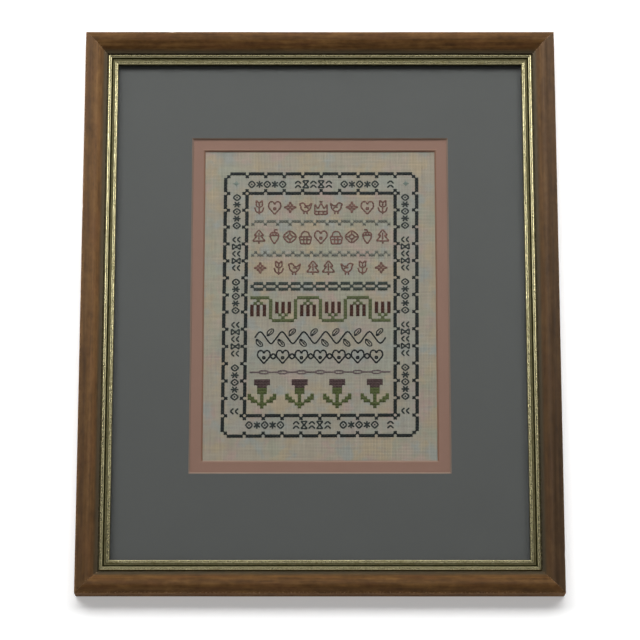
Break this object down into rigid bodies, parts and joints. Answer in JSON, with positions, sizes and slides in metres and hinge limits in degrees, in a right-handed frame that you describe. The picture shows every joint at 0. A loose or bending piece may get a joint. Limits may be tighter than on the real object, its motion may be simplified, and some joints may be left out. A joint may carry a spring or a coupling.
{
  "type": "cross stitch sampler on linen in a glazed wooden picture frame",
  "caption": "Cross stitch sampler on linen behind a bevelled rose mat and grey mat and glass, in a stained wood frame with a beaded gilt slip.",
  "frame": {"origin": "centre of the back of the frame, on the surface it lies on", "axes": "+X to the viewer's right, +Y to the top edge of the picture, +Z out of the picture's face"},
  "size_m": [0.2764, 0.3342, 0.0145],
  "materials": {
    "stained_wood": "satin walnut-brown stain and varnish",
    "gilt": "satin pale gilding over wood, a little rubbed",
    "glass": "clear polished picture glass",
    "grey_mat": "matte slate-grey mat board",
    "rose_mat": "matte dusty rose mat board",
    "linen": "natural evenweave linen, softly mottled with pastel dye",
    "thread": "stranded embroidery cotton in several muted colours",
    "backing_board": "matte brown backing board"
  },
  "bodies": {
    "root": {"moulding_bottom": "stained_wood", "moulding_right": "stained_wood", "moulding_top": "stained_wood", "moulding_left": "stained_wood", "gilt_slip_bottom": "gilt", "gilt_slip_right": "gilt", "gilt_slip_top": "gilt", "gilt_slip_left": "gilt", "glass_pane": "glass", "mat_grey": "grey_mat", "mat_rose": "rose_mat", "linen_cloth": "linen", "backing_board": "backing_board"}
  },
  "joints": []
}
